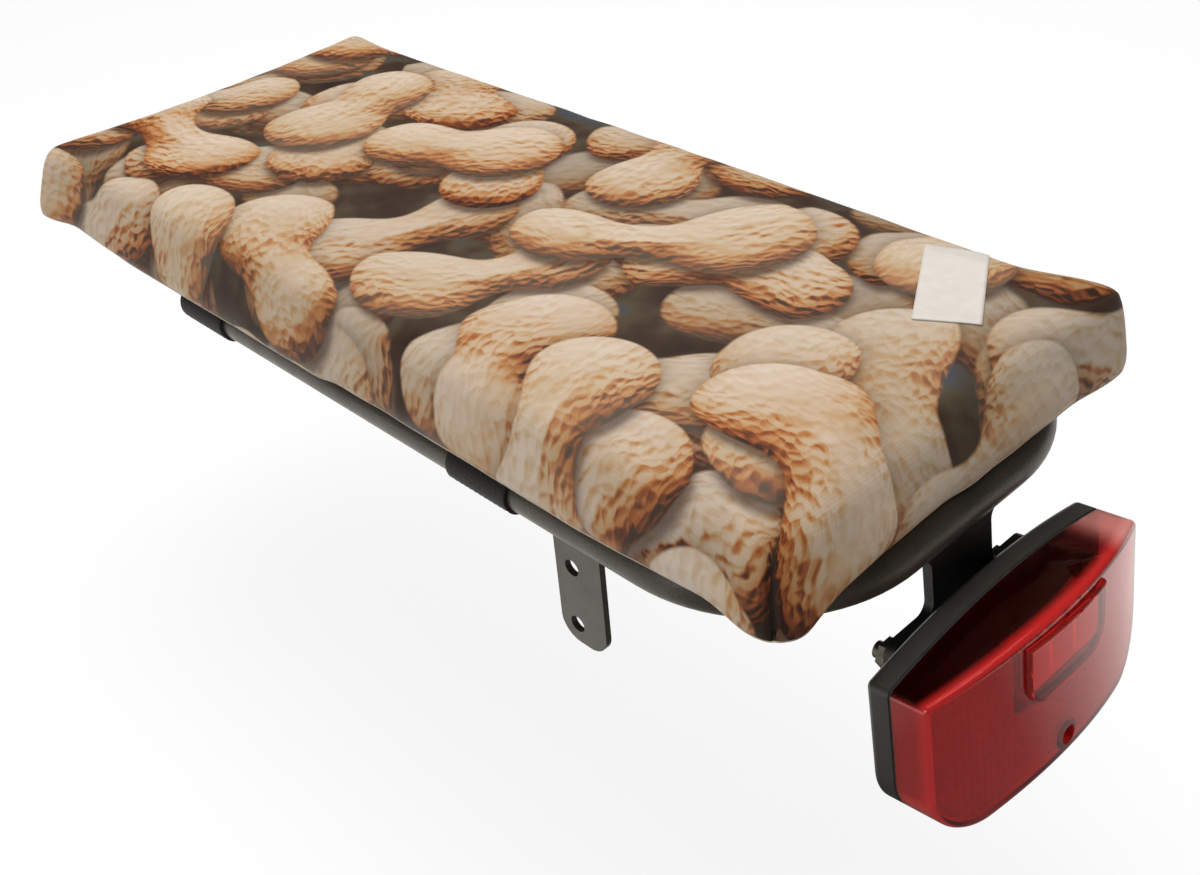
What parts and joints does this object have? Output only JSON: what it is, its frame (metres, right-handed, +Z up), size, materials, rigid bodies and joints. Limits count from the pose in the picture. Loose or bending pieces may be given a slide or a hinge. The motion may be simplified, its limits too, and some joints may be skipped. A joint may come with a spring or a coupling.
{
  "type": "rear rack cushion seat",
  "caption": "Padded printed seat cushion strapped to the tubular platform of a bicycle rear rack, with leg tabs and a red rear lamp bolted under its tail.",
  "frame": {"origin": "centre of the front fixing hole, on the plane of the platform's tube centrelines", "axes": "+X to the rear of the bicycle, +Y to its right, +Z up"},
  "size_m": [0.3979, 0.1538, 0.0998],
  "materials": {
    "printed_cloth": "coated cloth with a satin sheen and an all-over print",
    "foam": "open-cell foam",
    "base_cloth": "matt woven cloth",
    "label_cloth": "smooth sewn label",
    "webbing": "ribbed webbing",
    "hook_tape": "hook tape",
    "rack_paint": "satin powder coat",
    "bracket_paint": "satin black paint",
    "lamp_black": "moulded, satin",
    "lamp_rubber": "matt",
    "lens_red": "clear, polished",
    "window_red": "clear, polished",
    "reflex_red": "moulded prisms",
    "light_bar_bright": "bright moulded reflector",
    "led_clear": "clear resin",
    "board_green": "lacquered board",
    "terminal_brass": "stamped",
    "zinc": "dark zinc plated"
  },
  "bodies": {
    "root": {"cushion_cover": "printed_cloth", "foam_pad": "foam", "base_panel": "base_cloth", "label_patch": "label_cloth", "front_strap": "webbing", "rear_strap": "webbing", "front_hook_tape": "hook_tape", "rear_hook_tape": "hook_tape", "rack_loop": "rack_paint", "cross_bar_front": "rack_paint", "cross_bar_middle": "rack_paint", "cross_bar_rear": "rack_paint", "front_tongue": "rack_paint", "left_leg_tab": "rack_paint", "right_leg_tab": "rack_paint", "lamp_bracket": "bracket_paint", "lamp_housing": "lamp_black", "lamp_seal": "lamp_rubber", "lamp_lens": "lens_red", "lamp_window": "window_red", "lamp_reflex_panel": "reflex_red", "lamp_carrier": "lamp_black", "lamp_light_bar": "light_bar_bright", "lamp_leds": "led_clear", "lamp_circuit_board": "board_green", "lamp_terminals": "terminal_brass", "lamp_lens_screw": "zinc", "lamp_bolts": "zinc", "lamp_washers": "zinc", "lamp_nuts": "zinc"}
  },
  "joints": []
}
